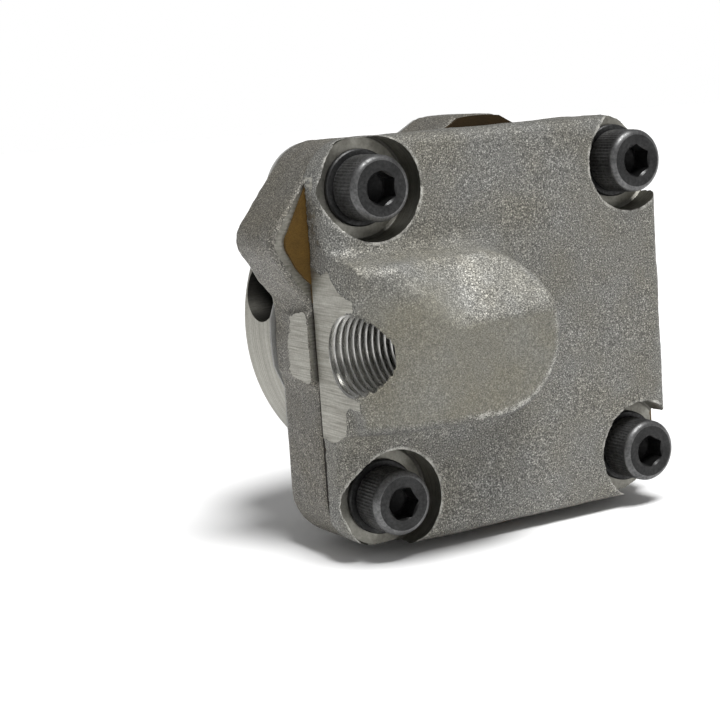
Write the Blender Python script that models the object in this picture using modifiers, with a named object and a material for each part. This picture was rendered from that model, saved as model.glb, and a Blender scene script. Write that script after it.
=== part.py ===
"""External gear pump for engine oil, with a full-flow cover.

Metres, +Z up. +X is to the right as seen from the cover, and +Y runs from the cover along the shafts
towards the crankcase. The origin is on the pilot's axis, in the plane where the mounting gasket meets
the crankcase. Parts are placed by the constants below; the gears mesh at rest.
"""

from math import acos, cos, pi, radians, sin, sqrt, tan

import bmesh
import bpy
from mathutils import Matrix, Vector

MM = 0.001

# Driving dimensions, in metres.
SCREW_PITCH = 62.0 * MM  # square pattern of the four mounting screws
SCREW_R = 4.0 * MM
SCREW_LENGTH = 30.0 * MM
SCREW_HOLE_R = 4.5 * MM
HEAD_R = 6.5 * MM
HEAD_HEIGHT = 8.0 * MM
SOCKET_FLATS = 6.0 * MM
SOCKET_DEPTH = 5.0 * MM
WASHER_R = 7.6 * MM
WASHER_THICKNESS = 0.8 * MM
GAP = 0.3 * MM  # between pieces that stand side by side
FACE_GAP = 0.2 * MM  # between faces that are clamped together
RUNNING_GAP = 0.1 * MM  # round a shaft in its bush
GASKET = 0.5 * MM

FLANGE_THICKNESS = 16.2 * MM
FLANGE_CORNER_R = 10.6 * MM
FLANGE_TOP_DROP = 1.0 * MM  # the upper corners' centres lie this far below the upper screws
FLANGE_HOLLOW = 0.3 * MM  # how far the sides are drawn in between a corner and a bulge
FLANGE_BULGE_R = 43.4 * MM  # the bulges at the middle of each side, round the pilot's axis
FLANGE_FLAT_X = -42.8 * MM  # the milled flat on the left bulge
FLANGE_FLAT_HALF = 8.6 * MM
FLANGE_FLAT_DEPTH = 8.0 * MM
EAR_R = 6.0 * MM
EAR_X = -43.6 * MM
EAR_Z = 21.6 * MM
EAR_FOOT = ((-45.5 * MM, 13.3 * MM), (-43.3 * MM, 9.6 * MM))  # the ear's hollow lower side
CAST_EDGE = 1.2 * MM
PILOT_R = 37.2 * MM
PILOT_LENGTH = 24.3 * MM
PILOT_CHAMFER = 0.8 * MM

COVER_THICKNESS = 9.0 * MM
COVER_LEFT = -41.6 * MM  # the milled port face
COVER_RIGHT = 38.9 * MM
COVER_HALF_HEIGHT = 41.0 * MM
COVER_CORNER_R = 10.0 * MM
COVER_EDGE = 2.5 * MM
SPOTFACE_R = 10.4 * MM
SPOTFACE_FLOOR = 2.4 * MM  # thickness of the cover left under a spotface

BOSS_HEIGHT = 16.6 * MM  # from the cover's front face to the boss's crest
BOSS_BASE_R = 16.3 * MM
BOSS_CREST_R = 14.0 * MM
BOSS_END_X = -11.5 * MM  # centre of the boss's round end
BOSS_EDGE = 8.0 * MM
BOSS_SINK = 4.0 * MM  # how far the boss reaches into the plate
PORT_R = 7.9 * MM
PORT_MOUTH_R = 8.5 * MM
PORT_STANDOFF = 12.6 * MM  # from the cover's rear face to the outlet port's axis
PORT_END_X = -5.0 * MM
PORT_LEAD = 1.5 * MM  # depth of the countersink at its mouth

CENTRE_DISTANCE = 30.0 * MM
GEAR_TEETH = 9
PRESSURE_ANGLE = radians(28.0)
GEAR_TIP_R = 18.0 * MM
GEAR_ROOT_R = 11.6 * MM
BACKLASH = 0.45 * MM
GEAR_LENGTH = 26.7 * MM
SHAFT_R = 6.9 * MM
PIN_R = 6.0 * MM
BUSH_WALL = 2.0 * MM
FRONT_BUSH_DEPTH = 4.8 * MM  # how deep the front bush sits in the cover
PIN_SEAT_FLOOR = 3.0 * MM
TANG_THICKNESS = 4.8 * MM
TANG_LENGTH = 6.0 * MM
TANG_STANDOFF = 3.0 * MM
KEY_SIDE = 2.8 * MM
KEY_LENGTH = 16.0 * MM
DOWEL_R = 2.0 * MM
DOWEL_Z = 37.6 * MM
DOWEL_HALF_LENGTH = 4.0 * MM

SIDE_PORT_R = 7.2 * MM  # the two side ports in the pilot
SIDE_PORT_Y = 15.0 * MM
SIDE_PORT_Z = 9.4 * MM
SIDE_PORT_END = 11.5 * MM  # how near the side ports come to the axis
POCKET_R = 6.0 * MM  # the cast pockets beside the gears' mesh
POCKET_X = 14.5 * MM
POCKET_Z = 2.0 * MM
POCKET_END_Y = 17.0 * MM
FEED_R = 2.2 * MM  # the riser over the pressure pocket, and the slanted drilling to the outlet port
RISER_DEPTH = 5.0 * MM
FEED_START_DEPTH = 3.0 * MM  # under the cover's rear face
FEED_END_X = -10.0 * MM
FEED_END_Y_SHIFT = 2.0 * MM  # from the outlet port's axis

COVER_GASKET_CORNER_R = FLANGE_CORNER_R - 0.4 * MM
COVER_GASKET_BULGE_R = FLANGE_BULGE_R - 0.6 * MM
COVER_GASKET_EAR_R = 3.0 * MM
COVER_GASKET_FOOT = ((-44.6 * MM, 16.6 * MM), (-42.9 * MM, 14.4 * MM), (-41.3 * MM, 12.9 * MM))
MOUNTING_GASKET_CORNER_R = FLANGE_CORNER_R - 0.6 * MM
MOUNTING_GASKET_BULGE_R = FLANGE_BULGE_R - 0.4 * MM

PLUG_INNER_X = 25.0 * MM
PLUG_OUTER_X = 32.0 * MM
HEAD_CHAMFER = 0.6 * MM
SHAFT_CHAMFER = 0.6 * MM
PLUG_CHAMFER = 0.8 * MM
DOWEL_CHAMFER = 0.4 * MM

ROUND = 36  # sides of a round piece
FINE_ROUND = 64
SMALL_ROUND = 24
FAR = 60.0 * MM  # beyond every piece, for cutters that open to the outside

# Places along Y, from the crankcase face forwards.
FLANGE_REAR = -GASKET - FACE_GAP
FLANGE_FRONT = FLANGE_REAR - FLANGE_THICKNESS
COVER_REAR = FLANGE_FRONT - GASKET - 2 * FACE_GAP
COVER_FRONT = COVER_REAR - COVER_THICKNESS
PILOT_REAR = FLANGE_REAR + PILOT_LENGTH
SPOTFACE_Y = COVER_REAR - SPOTFACE_FLOOR
WASHER_FRONT = SPOTFACE_Y - FACE_GAP - WASHER_THICKNESS
HEAD_REAR = WASHER_FRONT - FACE_GAP
HEAD_FRONT = HEAD_REAR - HEAD_HEIGHT
PORT_Y = COVER_REAR - PORT_STANDOFF
BOSS_CREST = COVER_FRONT - BOSS_HEIGHT
GEAR_FRONT = COVER_REAR + GAP
GEAR_REAR = GEAR_FRONT + GEAR_LENGTH
CHAMBER_FLOOR = GEAR_REAR + GAP
FRONT_BUSH_Y = COVER_REAR - FRONT_BUSH_DEPTH
PIN_END = PILOT_REAR - PIN_SEAT_FLOOR
DRIVE_Z = CENTRE_DISTANCE / 2
IDLER_Z = -CENTRE_DISTANCE / 2
SCREW_XZ = SCREW_PITCH / 2

HEX_TURNS = (0.0, 0.0, radians(30.0), 0.0)
SCREW_PLACES = ((-1, 1), (1, 1), (-1, -1), (1, -1))


def clear_scene():
    for item in list(bpy.data.objects):
        bpy.data.objects.remove(item, do_unlink=True)


def make_collection(name):
    group = bpy.data.collections.new(name)
    bpy.context.scene.collection.children.link(group)
    return group


def material(name, colour, roughness, metallic):
    """A Principled material with one colour."""
    made = bpy.data.materials.new(name)
    made.use_nodes = True
    shader = made.node_tree.nodes["Principled BSDF"]
    shader.inputs["Base Color"].default_value = (*colour, 1.0)
    shader.inputs["Roughness"].default_value = roughness
    shader.inputs["Metallic"].default_value = metallic
    return made


def link(name, mesh, group, finish=None):
    """An object in a collection. Without a finish it is a cutter or a guide."""
    made = bpy.data.objects.new(name, mesh)
    group.objects.link(made)
    if finish is None:
        made.hide_render = True
        made.display_type = "WIRE"
    else:
        mesh.materials.append(finish)
    return made


def smooth(target):
    target.data.shade_smooth()
    target.data.set_sharp_from_angle(angle=radians(35.0))


def arc(cx, cz, radius, start, end, steps):
    """Points along an arc in the XZ plane, with its angles in degrees from +X towards +Z."""
    angles = [radians(start + (end - start) * i / steps) for i in range(steps + 1)]
    return [(cx + radius * cos(a), cz + radius * sin(a)) for a in angles]


def prism(name, outline, front, rear, group, finish=None):
    """A flat outline in the XZ plane, extruded along Y from front to rear."""
    curve = bpy.data.curves.new(name, "CURVE")
    curve.dimensions = "2D"
    curve.fill_mode = "BOTH"
    curve.extrude = (rear - front) / 2
    spline = curve.splines.new("POLY")
    spline.points.add(len(outline) - 1)
    for point, (x, z) in zip(spline.points, outline):
        point.co = (x, z, 0.0, 1.0)
    spline.use_cyclic_u = True
    flat = bpy.data.objects.new(name + "_outline", curve)
    bpy.context.scene.collection.objects.link(flat)
    bpy.context.view_layer.update()
    graph = bpy.context.evaluated_depsgraph_get()
    mesh = bpy.data.meshes.new_from_object(flat.evaluated_get(graph), depsgraph=graph)
    bpy.data.objects.remove(flat, do_unlink=True)
    upright = Matrix.Rotation(pi / 2, 4, "X")
    mesh.transform(Matrix.Translation((0.0, (front + rear) / 2, 0.0)) @ upright)
    work = bmesh.new()
    work.from_mesh(mesh)
    bmesh.ops.remove_doubles(work, verts=work.verts, dist=0.00001)
    bmesh.ops.dissolve_limit(work, angle_limit=radians(0.5), verts=work.verts, edges=work.edges)
    bmesh.ops.recalc_face_normals(work, faces=work.faces)
    work.to_mesh(mesh)
    work.free()
    return link(name, mesh, group, finish)


def rod(name, radius, front, rear, x, z, group, sides=ROUND, along="Y", finish=None):
    """A round bar along Y at (x, z), or along X at (Y = x, Z = z), from front to rear."""
    work = bmesh.new()
    bmesh.ops.create_cone(
        work, cap_ends=True, segments=sides, radius1=radius, radius2=radius, depth=rear - front
    )
    mesh = bpy.data.meshes.new(name)
    work.to_mesh(mesh)
    work.free()
    made = link(name, mesh, group, finish)
    middle = (front + rear) / 2
    if along == "Y":
        made.rotation_euler = (-pi / 2, 0.0, 0.0)
        made.location = (x, middle, z)
    else:
        made.rotation_euler = (0.0, pi / 2, 0.0)
        made.location = (middle, x, z)
    return made


def block(name, low, high, group, finish=None):
    """A box between two corners."""
    work = bmesh.new()
    bmesh.ops.create_cube(work, size=1.0)
    sides = [b - a for a, b in zip(low, high)]
    bmesh.ops.scale(work, vec=sides, verts=work.verts)
    mesh = bpy.data.meshes.new(name)
    work.to_mesh(mesh)
    work.free()
    made = link(name, mesh, group, finish)
    made.location = [(a + b) / 2 for a, b in zip(low, high)]
    return made


def turned(name, profile, closed, group, sides=ROUND, finish=None):
    """A piece turned about its own Z by a Screw modifier. The profile is (radius, height) from the top
    down its outer side; an open profile starts and ends on the axis."""
    mesh = bpy.data.meshes.new(name)
    count = len(profile)
    edges = [(i, i + 1) for i in range(count - 1)]
    if closed:
        edges.append((count - 1, 0))
    mesh.from_pydata([(r, 0.0, h) for r, h in profile], edges, [])
    made = link(name, mesh, group, finish)
    spin = made.modifiers.new("Turn", "SCREW")
    spin.steps = sides
    spin.render_steps = sides
    spin.use_merge_vertices = True
    spin.merge_threshold = 0.00001
    spin.use_smooth_shade = False
    return made


def lay_along_y(made, x, z):
    """Turns a piece made along its own Z so that it lies along Y at (x, z)."""
    made.rotation_euler = (-pi / 2, 0.0, 0.0)
    made.location = (x, 0.0, z)
    return made


def ring(name, inner, outer, front, rear, x, z, group, finish):
    profile = [(outer, rear), (outer, front), (inner, front), (inner, rear)]
    return lay_along_y(turned(name, profile, True, group, finish=finish), x, z)


def boolean(target, tool, operation="DIFFERENCE"):
    step = target.modifiers.new(tool.name, "BOOLEAN")
    step.operation = operation
    step.solver = "EXACT"
    step.object = tool


def bevel(target, width, segments, behind=None):
    """Rounds a prism's sharp edges, or only those in front of a place along Y."""
    work = bmesh.new()
    work.from_mesh(target.data)
    weight = work.edges.layers.float.new("bevel_weight_edge")
    for edge in work.edges:
        in_reach = behind is None or all(v.co.y < behind for v in edge.verts)
        if in_reach and edge.calc_face_angle(0.0) > radians(40.0):
            edge[weight] = 1.0
    work.to_mesh(target.data)
    work.free()
    step = target.modifiers.new("Edges", "BEVEL")
    step.width = width
    step.segments = segments
    step.limit_method = "WEIGHT"
    step.use_clamp_overlap = False


def flange_outline(corner_r, bulge_r, ear_r=None, foot=(), left_bulge=True):
    """The flange seen from the cover: four round corners about the screws, a low bulge at the middle of
    each side, and with an ear radius the ear on the upper left, which runs down its foot points."""
    s = SCREW_XZ
    side = s + corner_r - FLANGE_HOLLOW
    top = s - FLANGE_TOP_DROP
    bulge_half = 6.6  # degrees of full bulge each side of its middle
    slope = 10.0 * MM  # where the bulge has run down to the side
    points = arc(s, top, corner_r, 0, 90, 8)
    points += [(slope, side - FLANGE_TOP_DROP)]
    points += arc(0, 0, bulge_r, 90 - bulge_half, 90 + bulge_half, 3)
    points += [(-slope, side - FLANGE_TOP_DROP)]
    if ear_r is None:
        points += arc(-s, top, corner_r, 90, 180, 8)
        points += [(-side, slope)]
    else:
        points += arc(-s, top, corner_r, 90, 140, 5)
        points += arc(EAR_X, EAR_Z, ear_r, 140, 215, 6)
        points += list(foot)
    if left_bulge:
        points += arc(0, 0, bulge_r, 180 - bulge_half, 180 + bulge_half, 3)
    points += [(-side, -slope)]
    points += arc(-s, -s, corner_r, 180, 270, 8)
    points += [(-slope, -side)]
    points += arc(0, 0, bulge_r, 270 - bulge_half, 270 + bulge_half, 3)
    points += [(slope, -side)]
    points += arc(s, -s, corner_r, 270, 360, 8)
    points += [(side, -slope)]
    points += arc(0, 0, bulge_r, -bulge_half, bulge_half, 3)
    points += [(side, slope)]
    return points


def cover_outline():
    r = COVER_CORNER_R
    h = COVER_HALF_HEIGHT
    points = arc(COVER_RIGHT - r, h - r, r, 0, 90, 8)
    points += arc(COVER_LEFT + r, h - r, r, 90, 180, 8)
    points += arc(COVER_LEFT + r, r - h, r, 180, 270, 8)
    points += arc(COVER_RIGHT - r, r - h, r, 270, 360, 8)
    return points


def involute(angle):
    return tan(angle) - angle


def gear_outline():
    """A gear's teeth about the origin, with the first tooth centred on +X."""
    pitch_r = CENTRE_DISTANCE / 2
    base_r = pitch_r * cos(PRESSURE_ANGLE)
    half_pitch = (pi * pitch_r / GEAR_TEETH - BACKLASH) / 2 / pitch_r
    steps = 4
    flank = []
    for i in range(steps + 1):
        r = base_r + (GEAR_TIP_R - base_r) * i / steps
        half = half_pitch + involute(PRESSURE_ANGLE) - involute(acos(base_r / r))
        flank.append((r, half))
    root_half = flank[0][1]
    tooth = [(GEAR_ROOT_R, -root_half - radians(1.5))] + [(r, -a) for r, a in flank]
    tooth += [(r, a) for r, a in reversed(flank)] + [(GEAR_ROOT_R, root_half + radians(1.5))]
    points = []
    for n in range(GEAR_TEETH):
        centre = 2 * pi * n / GEAR_TEETH
        points += [(r * cos(centre + a), r * sin(centre + a)) for r, a in tooth]
    return points


def rotated(points, angle):
    c = cos(angle)
    s = sin(angle)
    return [(c * x - s * z, s * x + c * z) for x, z in points]


def cut_holes(target, radius, front, rear, cutters):
    """The four screw holes, from front to rear."""
    for n, (side, up) in enumerate(SCREW_PLACES, 1):
        name = f"{target.name}_screw_hole_{n}"
        hole = rod(name, radius, front, rear, side * SCREW_XZ, up * SCREW_XZ, cutters, SMALL_ROUND)
        boolean(target, hole)


def cut_dowel_holes(target, front, rear, cutters):
    for n, up in enumerate((1, -1), 1):
        name = f"{target.name}_dowel_hole_{n}"
        hole = rod(name, DOWEL_R + GAP, front, rear, 0.0, up * DOWEL_Z, cutters, SMALL_ROUND)
        boolean(target, hole)


def make_body(parts, cutters, finish):
    """The flange with its ear and the pilot behind it, with the gear chamber open to the front."""
    outline = flange_outline(FLANGE_CORNER_R, FLANGE_BULGE_R, EAR_R, EAR_FOOT)
    body = prism("pump_body", outline, FLANGE_FRONT, FLANGE_REAR, parts, finish)
    bevel(body, CAST_EDGE, 2)
    profile = [
        (0.0, PILOT_REAR),
        (PILOT_R - PILOT_CHAMFER, PILOT_REAR),
        (PILOT_R, PILOT_REAR - PILOT_CHAMFER),
        (PILOT_R, FLANGE_FRONT / 2),
        (0.0, FLANGE_FRONT / 2),
    ]
    pilot = lay_along_y(turned("pilot", profile, False, cutters, FINE_ROUND), 0.0, 0.0)
    boolean(body, pilot, "UNION")
    ahead = FLANGE_FRONT - MM
    flat_low = (-FAR, ahead, -FLANGE_FLAT_HALF)
    flat_high = (FLANGE_FLAT_X, FLANGE_FRONT + FLANGE_FLAT_DEPTH, FLANGE_FLAT_HALF)
    boolean(body, block("left_flat", flat_low, flat_high, cutters))
    room_r = GEAR_TIP_R + GAP
    for name, z in (("drive", DRIVE_Z), ("idler", IDLER_Z)):
        room = rod(name + "_chamber", room_r, ahead, CHAMBER_FLOOR, 0.0, z, cutters, FINE_ROUND)
        boolean(body, room)
    for name, side in (("suction", -1), ("pressure", 1)):
        place = (side * POCKET_X, -side * POCKET_Z)
        pocket = rod(name + "_pocket", POCKET_R, ahead, POCKET_END_Y, *place, cutters, SMALL_ROUND)
        boolean(body, pocket)
        ends = sorted((side * SIDE_PORT_END, side * FAR))
        where = (SIDE_PORT_Y, -side * SIDE_PORT_Z)
        port = rod(name + "_port", SIDE_PORT_R, *ends, *where, cutters, SMALL_ROUND, "X")
        boolean(body, port)
    bush_r = SHAFT_R + RUNNING_GAP + BUSH_WALL + GAP
    boolean(body, rod("rear_bush_seat", bush_r, 0.0, FAR, 0.0, DRIVE_Z, cutters))
    pin_seat = rod("idler_pin_seat", PIN_R + GAP, 0.0, PIN_END, 0.0, IDLER_Z, cutters)
    boolean(body, pin_seat)
    cut_holes(body, SCREW_HOLE_R, ahead, FAR, cutters)
    cut_dowel_holes(body, ahead, FLANGE_FRONT + DOWEL_HALF_LENGTH + GAP, cutters)
    smooth(body)


def make_boss(cutters):
    """The D-shaped outlet boss: it narrows towards its crest, and its front edges are round."""
    outline = arc(BOSS_END_X, 0.0, BOSS_BASE_R, -90, 90, 14)
    outline += [(COVER_LEFT, BOSS_BASE_R), (COVER_LEFT, -BOSS_BASE_R)]
    boss = prism("outlet_boss", outline, BOSS_CREST, COVER_FRONT + BOSS_SINK, cutters)
    taper = BOSS_CREST_R / BOSS_BASE_R
    for vertex in boss.data.vertices:
        if vertex.co.y < COVER_FRONT:
            vertex.co.z *= taper
            if vertex.co.x > BOSS_END_X:
                vertex.co.x = BOSS_END_X + (vertex.co.x - BOSS_END_X) * taper
    bevel(boss, BOSS_EDGE, 4, COVER_FRONT)
    return boss


def make_cover(parts, cutters, finish):
    """The cover plate with its outlet boss, spotfaces, outlet port and the seat of the front bush."""
    cover = prism("cover", cover_outline(), COVER_FRONT, COVER_REAR, parts, finish)
    bevel(cover, COVER_EDGE, 3, SPOTFACE_Y)
    boolean(cover, make_boss(cutters), "UNION")
    for n, (side, up) in enumerate(SCREW_PLACES, 1):
        place = (side * SCREW_XZ, up * SCREW_XZ)
        spotface = rod(f"spotface_{n}", SPOTFACE_R, -FAR, SPOTFACE_Y, *place, cutters)
        boolean(cover, spotface)
    cut_holes(cover, SCREW_HOLE_R, -FAR, 0.0, cutters)
    cut_dowel_holes(cover, COVER_REAR - DOWEL_HALF_LENGTH - GAP, 0.0, cutters)
    boolean(cover, make_port_cutter(cutters))
    bush_r = SHAFT_R + RUNNING_GAP + BUSH_WALL + GAP
    boolean(cover, rod("front_bush_seat", bush_r, FRONT_BUSH_Y - GAP, 0.0, 0.0, DRIVE_Z, cutters))
    riser_y = COVER_REAR - RISER_DEPTH
    boolean(cover, rod("riser", FEED_R, riser_y, 0.0, POCKET_X, -POCKET_Z, cutters, SMALL_ROUND))
    boolean(cover, make_feed_drilling(cutters))
    smooth(cover)


def make_port_cutter(cutters):
    """The outlet port's bore along X, wider at its mouth, with a drill point at its inner end."""
    outside = COVER_LEFT - MM
    profile = [
        (0.0, PORT_END_X + PORT_R / 3),
        (PORT_R, PORT_END_X),
        (PORT_R, COVER_LEFT + PORT_LEAD),
        (PORT_MOUTH_R, COVER_LEFT),
        (PORT_MOUTH_R, outside),
        (0.0, outside),
    ]
    cutter = turned("outlet_port", profile, False, cutters)
    cutter.rotation_euler = (0.0, pi / 2, 0.0)
    cutter.location = (0.0, PORT_Y, 0.0)
    return cutter


def make_feed_drilling(cutters):
    """A slanted hole from the top of the riser to the outlet port's inner end."""
    start = Vector((POCKET_X, COVER_REAR - FEED_START_DEPTH, -POCKET_Z))
    end = Vector((FEED_END_X, PORT_Y + FEED_END_Y_SHIFT, 0.0))
    run = end - start
    drill = rod("feed_drilling", FEED_R, 0.0, run.length, 0.0, 0.0, cutters, SMALL_ROUND)
    drill.rotation_euler = run.to_track_quat("Z", "Y").to_euler()
    drill.location = (start + end) / 2
    return drill


def make_cover_gasket(parts, cutters, finish):
    """The gasket between cover and body: the flange's outline with the gear chamber's opening."""
    front = COVER_REAR + FACE_GAP
    ear = (COVER_GASKET_EAR_R, COVER_GASKET_FOOT, False)
    outline = flange_outline(COVER_GASKET_CORNER_R, COVER_GASKET_BULGE_R, *ear)
    gasket = prism("cover_gasket", outline, front, front + GASKET, parts, finish)
    ends = (COVER_FRONT, 0.0)
    for name, z in (("upper", DRIVE_Z), ("lower", IDLER_Z)):
        boolean(gasket, rod(f"gasket_{name}", GEAR_TIP_R + 2 * GAP, *ends, 0.0, z, cutters))
    for name, side in (("suction", -1), ("pressure", 1)):
        place = (side * POCKET_X, -side * POCKET_Z)
        boolean(gasket, rod(f"gasket_{name}", POCKET_R + GAP, *ends, *place, cutters))
    cut_holes(gasket, SCREW_HOLE_R, *ends, cutters)
    cut_dowel_holes(gasket, *ends, cutters)


def make_mounting_gasket(parts, cutters, finish):
    outline = flange_outline(MOUNTING_GASKET_CORNER_R, MOUNTING_GASKET_BULGE_R)
    gasket = prism("mounting_gasket", outline, -GASKET, 0.0, parts, finish)
    ends = (FLANGE_FRONT, PILOT_REAR)
    opening = rod("gasket_opening", PILOT_R + GAP, *ends, 0.0, 0.0, cutters, FINE_ROUND)
    boolean(gasket, opening)
    cut_holes(gasket, SCREW_HOLE_R, *ends, cutters)


def make_screw(n, side, up, parts, cutters, finish):
    """A socket-head screw with its head towards the cover's front."""
    tip = HEAD_REAR + SCREW_LENGTH
    profile = [
        (0.0, tip),
        (SCREW_R - HEAD_CHAMFER, tip),
        (SCREW_R, tip - HEAD_CHAMFER),
        (SCREW_R, HEAD_REAR),
        (HEAD_R, HEAD_REAR),
        (HEAD_R, HEAD_FRONT + HEAD_CHAMFER),
        (HEAD_R - HEAD_CHAMFER, HEAD_FRONT),
        (0.0, HEAD_FRONT),
    ]
    screw = turned(f"cover_screw_{n}", profile, False, parts, SMALL_ROUND, finish)
    lay_along_y(screw, side * SCREW_XZ, up * SCREW_XZ)
    hex_r = SOCKET_FLATS / sqrt(3.0)
    floor = HEAD_FRONT + SOCKET_DEPTH
    place = (side * SCREW_XZ, up * SCREW_XZ)
    socket = rod(f"hex_socket_{n}", hex_r, HEAD_FRONT - MM, floor, *place, cutters, 6)
    socket.rotation_euler = (-pi / 2, HEX_TURNS[n - 1], 0.0)
    boolean(screw, socket)


def make_washer(n, side, up, parts, finish):
    rear = SPOTFACE_Y - FACE_GAP
    bore = SCREW_R + GAP
    place = (side * SCREW_XZ, up * SCREW_XZ)
    ring(f"screw_washer_{n}", bore, WASHER_R, WASHER_FRONT, rear, *place, parts, finish)


def make_dowels(parts, finish):
    middle = (FLANGE_FRONT + COVER_REAR) / 2
    for n, up in enumerate((1, -1), 1):
        profile = [
            (0.0, middle + DOWEL_HALF_LENGTH),
            (DOWEL_R - DOWEL_CHAMFER, middle + DOWEL_HALF_LENGTH),
            (DOWEL_R, middle + DOWEL_HALF_LENGTH - DOWEL_CHAMFER),
            (DOWEL_R, middle - DOWEL_HALF_LENGTH + DOWEL_CHAMFER),
            (DOWEL_R - DOWEL_CHAMFER, middle - DOWEL_HALF_LENGTH),
            (0.0, middle - DOWEL_HALF_LENGTH),
        ]
        dowel = turned(f"dowel_pin_{n}", profile, False, parts, SMALL_ROUND, finish)
        lay_along_y(dowel, 0.0, up * DOWEL_Z)


def make_bushes(parts, finish):
    inner = SHAFT_R + RUNNING_GAP
    outer = inner + BUSH_WALL
    ends = (FRONT_BUSH_Y, COVER_REAR - FACE_GAP)
    ring("shaft_front_bush", inner, outer, *ends, 0.0, DRIVE_Z, parts, finish)
    ends = (CHAMBER_FLOOR + FACE_GAP, PILOT_REAR - FACE_GAP)
    ring("shaft_rear_bush", inner, outer, *ends, 0.0, DRIVE_Z, parts, finish)


def make_plug(parts, finish):
    """The plug that blocks the pressure side's gallery, inside its port in the pilot."""
    r = SIDE_PORT_R - GAP
    profile = [
        (0.0, PLUG_OUTER_X),
        (r - PLUG_CHAMFER, PLUG_OUTER_X),
        (r, PLUG_OUTER_X - PLUG_CHAMFER),
        (r, PLUG_INNER_X),
        (0.0, PLUG_INNER_X),
    ]
    plug = turned("gallery_plug", profile, False, parts, SMALL_ROUND, finish)
    plug.rotation_euler = (0.0, pi / 2, 0.0)
    plug.location = (0.0, SIDE_PORT_Y, -SIDE_PORT_Z)


def make_idler_pin(parts, finish):
    front = FLANGE_FRONT - FACE_GAP
    rear = PIN_END - GAP
    profile = [
        (0.0, rear),
        (PIN_R - SHAFT_CHAMFER, rear),
        (PIN_R, rear - SHAFT_CHAMFER),
        (PIN_R, front + SHAFT_CHAMFER),
        (PIN_R - SHAFT_CHAMFER, front),
        (0.0, front),
    ]
    lay_along_y(turned("idler_pin", profile, False, parts, finish=finish), 0.0, IDLER_Z)


def axis_empty(name, z, parts):
    """An empty on a joint's axis, which carries that joint's pieces."""
    axis = bpy.data.objects.new(name, None)
    axis.location = (0.0, 0.0, z)
    parts.objects.link(axis)
    return axis


def carry(piece, axis):
    """Parents a piece to its joint's empty without moving it."""
    piece.parent = axis
    piece.location = Vector(piece.location) - Vector(axis.location)


def make_gear(name, z, tooth_angle, bore_r, parts, cutters, finish):
    """A gear made about its own axis, with one tooth centred on tooth_angle."""
    outline = rotated(gear_outline(), tooth_angle)
    gear = prism(name, outline, GEAR_FRONT, GEAR_REAR, parts, finish)
    gear.location = (0.0, 0.0, z)
    boolean(gear, rod(name + "_bore", bore_r, BOSS_CREST, PILOT_REAR, 0.0, z, cutters))
    return gear


def make_key(parts, cutters, finish, shaft, gear):
    """The key between shaft and drive gear, with its seat in the shaft and its way through the gear."""
    middle = (GEAR_FRONT + GEAR_REAR) / 2
    half = KEY_SIDE / 2
    low_z = DRIVE_Z + SHAFT_R - half
    high_z = low_z + KEY_SIDE
    ends = (middle - KEY_LENGTH / 2, middle + KEY_LENGTH / 2)
    key = block("gear_key", (-half, ends[0], low_z), (half, ends[1], high_z), parts, finish)
    side = half + FACE_GAP
    low = (-side, ends[0] - FACE_GAP, low_z - FACE_GAP)
    high = (side, ends[1] + FACE_GAP, high_z + FACE_GAP)
    boolean(shaft, block("shaft_keyseat", low, high, cutters))
    way_low = (-side, BOSS_CREST, DRIVE_Z)
    way_high = (side, PILOT_REAR, high_z + FACE_GAP)
    boolean(gear, block("gear_keyway", way_low, way_high, cutters))
    return key


def make_drive_shaft(parts, cutters, finish):
    """The drive shaft, with a flat tang at its rear end for the camshaft's slot."""
    front = FRONT_BUSH_Y + FACE_GAP
    shoulder = PILOT_REAR + TANG_STANDOFF
    rear = shoulder + TANG_LENGTH
    profile = [
        (0.0, rear),
        (SHAFT_R - SHAFT_CHAMFER, rear),
        (SHAFT_R, rear - SHAFT_CHAMFER),
        (SHAFT_R, front + SHAFT_CHAMFER),
        (SHAFT_R - SHAFT_CHAMFER, front),
        (0.0, front),
    ]
    shaft = lay_along_y(turned("drive_shaft", profile, False, parts, finish=finish), 0.0, DRIVE_Z)
    wide = 10.0 * MM
    for name, side in (("left", -1), ("right", 1)):
        span = sorted((side * TANG_THICKNESS / 2, side * wide))
        low = (span[0], shoulder, DRIVE_Z - wide)
        high = (span[1], rear + MM, DRIVE_Z + wide)
        boolean(shaft, block("tang_" + name, low, high, cutters))
    return shaft


def make_gear_train(parts, cutters, steel, hard_steel):
    """The shaft with its gear and key on one axis, and the idler gear on the other."""
    drive_axis = axis_empty("drive_axis", DRIVE_Z, parts)
    idler_axis = axis_empty("idler_axis", IDLER_Z, parts)
    shaft = make_drive_shaft(parts, cutters, hard_steel)
    bore = SHAFT_R + FACE_GAP
    drive = make_gear("drive_gear", DRIVE_Z, -pi / 2, bore, parts, cutters, steel)
    key = make_key(parts, cutters, hard_steel, shaft, drive)
    half_tooth = pi / GEAR_TEETH
    bore = PIN_R + RUNNING_GAP
    idler = make_gear("idler_gear", IDLER_Z, pi / 2 + half_tooth, bore, parts, cutters, steel)
    for piece in (shaft, drive, key):
        carry(piece, drive_axis)
    carry(idler, idler_axis)
    for piece in (drive, idler):
        smooth(piece)


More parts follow.
